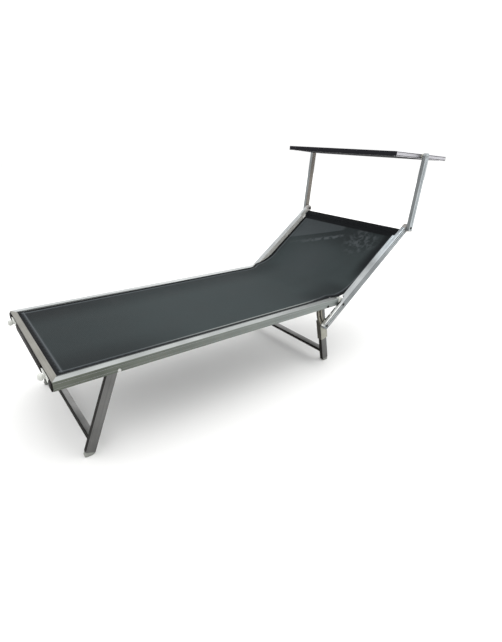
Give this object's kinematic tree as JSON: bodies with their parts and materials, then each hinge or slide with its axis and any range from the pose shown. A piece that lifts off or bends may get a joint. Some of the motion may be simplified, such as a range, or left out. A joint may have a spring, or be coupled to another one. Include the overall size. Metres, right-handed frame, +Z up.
{
  "type": "sun lounger with canopy",
  "caption": "Folding aluminium sun lounger: a taut fabric sling on slender rails, a backrest that reclines on racks, folding leg frames, and a flat shade canopy on two tilting arms",
  "frame": {"origin": "on the ground under the middle of the lounger, in the pose of the picture: legs open, backrest raised, canopy level", "axes": "+X from the foot end to the head end, +Y to the right hand of someone lying on it, +Z up"},
  "size_m": [2.051, 0.7798, 1.0417],
  "materials": {
    "rail": "satin silver anodised, fine lines along the extrusion",
    "leg_tube": "satin grey anodised",
    "sling": "charcoal coated mesh weave",
    "canopy_cloth": "black woven cloth",
    "nylon": "moulded, warm light grey",
    "plastic": "moulded, light grey",
    "steel": "plain steel, darkened"
  },
  "bodies": {
    "seat_frame": {"seat_rail_left": "rail", "seat_rail_right": "rail", "foot_rail": "rail", "seat_cross_tube": "rail", "corner_key_left": "plastic", "corner_key_right": "plastic", "seat_rail_cap_left": "plastic", "seat_rail_cap_right": "plastic", "end_bumper_left": "plastic", "end_bumper_right": "plastic", "hinge_bolt_left": "steel", "hinge_bolt_right": "steel", "front_leg_rivet_left": "steel", "front_leg_rivet_right": "steel", "rear_leg_rivet_left": "steel", "rear_leg_rivet_right": "steel", "recline_rack_left": "nylon", "recline_rack_right": "nylon", "seat_fabric": "sling", "hinge_fabric": "sling"},
    "backrest": {"back_rail_left": "rail", "back_rail_right": "rail", "back_top_cap_left": "plastic", "back_top_cap_right": "plastic", "back_bottom_cap_left": "plastic", "back_bottom_cap_right": "plastic", "recline_pin_left": "steel", "recline_pin_right": "steel", "back_top_tube": "rail", "back_fabric": "sling"},
    "canopy_arms": {"canopy_arm_left": "rail", "canopy_arm_right": "rail", "arm_foot_cap_left": "plastic", "arm_foot_cap_right": "plastic", "arm_bolt_left": "steel", "arm_bolt_right": "steel"},
    "canopy": {"canopy_side_rail_left": "rail", "canopy_side_rail_right": "rail", "canopy_front_tube": "rail", "canopy_rear_tube": "rail", "canopy_fabric": "canopy_cloth", "canopy_rear_cap_left": "plastic", "canopy_rear_cap_right": "plastic", "tilt_bolt_left": "steel", "tilt_bolt_right": "steel", "tilt_washer_left": "nylon", "tilt_washer_right": "nylon"},
    "front_legs": {"front_leg_left": "leg_tube", "front_leg_right": "leg_tube", "front_foot_left": "plastic", "front_foot_right": "plastic", "front_crossbar": "leg_tube"},
    "rear_legs": {"rear_leg_left": "leg_tube", "rear_leg_right": "leg_tube", "rear_foot_left": "plastic", "rear_foot_right": "plastic", "rear_crossbar": "leg_tube", "leg_sleeve_left": "nylon", "leg_sleeve_right": "nylon"}
  },
  "joints": [
    {"name": "backrest_recline", "type": "hinge", "parent": "seat_frame", "child": "backrest", "pos_m": [0.33249, 0, 0.342], "axis": [0, -1, 0], "range_deg": [-34, 8], "deforming": ["hinge_fabric"]},
    {"name": "canopy_arm_swing", "type": "hinge", "parent": "backrest", "child": "canopy_arms", "pos_m": [0.7748, 0, 0.67564], "axis": [0, -1, 0], "range_deg": [-47, 85]},
    {"name": "canopy_tilt", "type": "hinge", "parent": "canopy_arms", "child": "canopy", "pos_m": [0.80127, 0, 1.01963], "axis": [0, -1, 0], "range_deg": [-60, 60]},
    {"name": "front_leg_fold", "type": "hinge", "parent": "seat_frame", "child": "front_legs", "pos_m": [-0.79051, 0, 0.34], "axis": [0, -1, 0], "range_deg": [0, 105]},
    {"name": "rear_leg_fold", "type": "hinge", "parent": "seat_frame", "child": "rear_legs", "pos_m": [0.24949, 0, 0.34], "axis": [0, 1, 0], "range_deg": [0, 97]}
  ]
}
